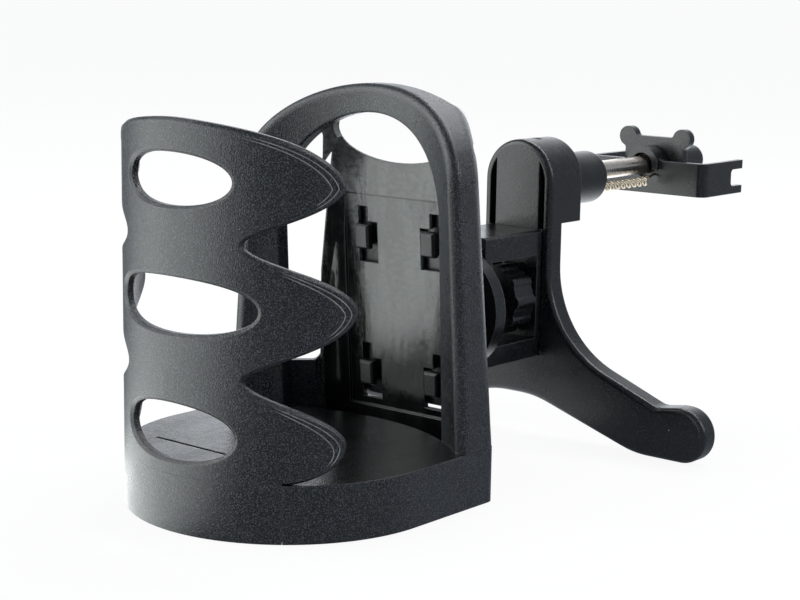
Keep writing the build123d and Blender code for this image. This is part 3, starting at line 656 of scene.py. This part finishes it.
def finger_edge(gap_z, tip):
    """Bezier corners of the edge from a gap to a fingertip."""
    gap, tip_point = flat_point(gap_arc, gap_z), flat_point(*tip)
    rise = tip_point.y - gap.y
    from_gap, to_tip = Vector((0, gap_round * rise)), Vector((0, tip_round * rise))
    return gap, gap + from_gap, tip_point - to_tip, tip_point


def unrolled(corners, share):
    """Point of a Bezier edge at this share of its run, as arc and height on the unrolled cage."""
    a, b, c, d = corners
    rest = 1 - share
    flat = a * rest**3 + b * (3 * rest**2 * share) + c * (3 * rest * share**2) + d * share**3
    return Vector((cage_radius * math.atan(flat.x / cage_radius), flat.y))


brow = (
    flat_point(0, cage_height),
    flat_point(crown_arc, cage_height),
    flat_point(upper_tip[0], upper_tip[1] + brow_rise),
    flat_point(*upper_tip),
)
sole = (
    flat_point(band_arc, floor_height),
    flat_point(sole_arc, floor_height),
    flat_point(lower_tip[0], lower_tip[1] - sole_drop),
    flat_point(*lower_tip),
)
fingers = [
    (brow, finger_edge(upper_gap_z, upper_tip)),
    (finger_edge(upper_gap_z, middle_tip), finger_edge(lower_gap_z, middle_tip)),
    (finger_edge(lower_gap_z, lower_tip), sole),
]
print("fingers on each side:", len(fingers))

# %% [markdown]
# A line is the outline set in by a margin that grows from its ends to the tip. The tip is more
# sharply curved than the margin is wide, so a plain offset would make a knot there. The direction of
# the inset is therefore taken over a long stretch of the edge, and the points are smoothed.

# %% Course of the fingertip lines
# Each line of a finger: its margin at the ends and at the tip
line_margins = ((0.0008, 0.0018), (0.0013, 0.0034))
upper_start, lower_start = 0.2, 0.5
edge_steps = 14
stretch_steps = 6
smoothing_passes = 8


def set_in(upper_edge, lower_edge, end_margin, tip_margin):
    """Points of a line inside a fingertip, on the unrolled cage, each with its nearness to the tip."""
    outline = []
    for edge, start in ((upper_edge, upper_start), (lower_edge, lower_start)):
        nearness = [step / edge_steps for step in range(edge_steps + 1)]
        run = [(unrolled(edge, start + (1 - start) * near), near) for near in nearness]
        # The second edge runs back from the tip, which both share
        outline += run[-2::-1] if outline else run
    points = []
    for spot, (point, near) in enumerate(outline):
        after, before = min(spot + stretch_steps, len(outline) - 1), max(spot - stretch_steps, 0)
        ahead = outline[after][0] - outline[before][0]
        inward = Vector((ahead.y, -ahead.x)).normalized()
        eased = near**2 * (3 - 2 * near)
        points.append(point + inward * (end_margin + (tip_margin - end_margin) * eased))
    for _ in range(smoothing_passes):
        inner = [(a + 2 * b + c) / 4 for a, b, c in zip(points, points[1:], points[2:])]
        points = [points[0]] + inner + [points[-1]]
    return [(point, near) for point, (_, near) in zip(points, outline)]


courses = [set_in(*finger, *margins) for finger in fingers for margins in line_margins]
print("lines on each side:", len(courses), "points each:", len(courses[0]))

# %% [markdown]
# A Bezier curve with a round section is divided and bent to each course, on the right and on the left
# of the cage, and made a mesh. Half of the section lies in the plastic, and the ends sink in, so that
# the line runs out instead of stopping. Its tone is a painted highlight, paler than the grain beside
# it.

# %% Fingertip lines
line_radius = 0.00013
end_sink, sink_power = 0.0002, 4
curve_steps, section_steps = 3, 1
same_point = 0.000001
line_smooth_angle = math.radians(50)
line_mottle_scale, line_mottle_detail = 600, 2
line_dark_tone, line_highlight_tone = (0.03, 0.031, 0.033), (0.3, 0.3, 0.28)
line_roughness = (0.34, 0.24)


def bend_line(course, side):
    """Line along a course on the right (1) or left (-1) of the cage, as a mesh object."""
    bpy.ops.curve.primitive_bezier_curve_add()
    line = bpy.context.object
    bpy.ops.object.mode_set(mode="EDIT")
    bpy.ops.curve.select_all(action="SELECT")
    bpy.ops.curve.subdivide(number_cuts=len(course) - 2)
    bpy.ops.object.mode_set(mode="OBJECT")
    for knot, (point, near) in zip(line.data.splines[0].bezier_points, course):
        angle = point.x / cage_radius
        out_by = cage_radius - end_sink * (1 - near) ** sink_power
        knot.handle_left_type = knot.handle_right_type = "AUTO"
        knot.co = (side * out_by * math.sin(angle), -out_by * math.cos(angle), point.y)
    line.data.resolution_u = curve_steps
    line.data.bevel_depth = line_radius
    line.data.bevel_resolution = section_steps
    line.data.use_fill_caps = True
    bpy.ops.object.convert(target="MESH")
    return bpy.context.object


bpy.ops.object.select_all(action="DESELECT")
lines = [bend_line(course, side) for course in courses for side in (1, -1)]
for line in lines:
    line.select_set(True)
bpy.context.view_layer.objects.active = lines[0]
bpy.ops.object.join()
fingertip_lines = bpy.context.object
fingertip_lines.name = "fingertip_lines"
bpy.ops.object.mode_set(mode="EDIT")
bpy.ops.mesh.select_all(action="SELECT")
bpy.ops.mesh.remove_doubles(threshold=same_point)
bpy.ops.mesh.normals_make_consistent(inside=False)
bpy.ops.object.mode_set(mode="OBJECT")
bpy.ops.object.shade_smooth_by_angle(angle=line_smooth_angle)

highlight_line_finish, tree, shader, place = new_finish("highlight_line_plastic")
line_mottle = noise(tree, place, line_mottle_scale, line_mottle_detail)
# Painted highlight: the lines are toned pale along a noise
tree.links.new(blend_tone(tree, line_mottle, line_dark_tone, line_highlight_tone), shader.inputs["Base Color"])
tree.links.new(ramp(tree, line_mottle, *noise_middle, *line_roughness), shader.inputs["Roughness"])
fingertip_lines.data.materials.clear()
fingertip_lines.data.materials.append(highlight_line_finish)
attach(fingertip_lines, "basket")
print("fingertip lines:", len(lines), "faces:", len(fingertip_lines.data.polygons))
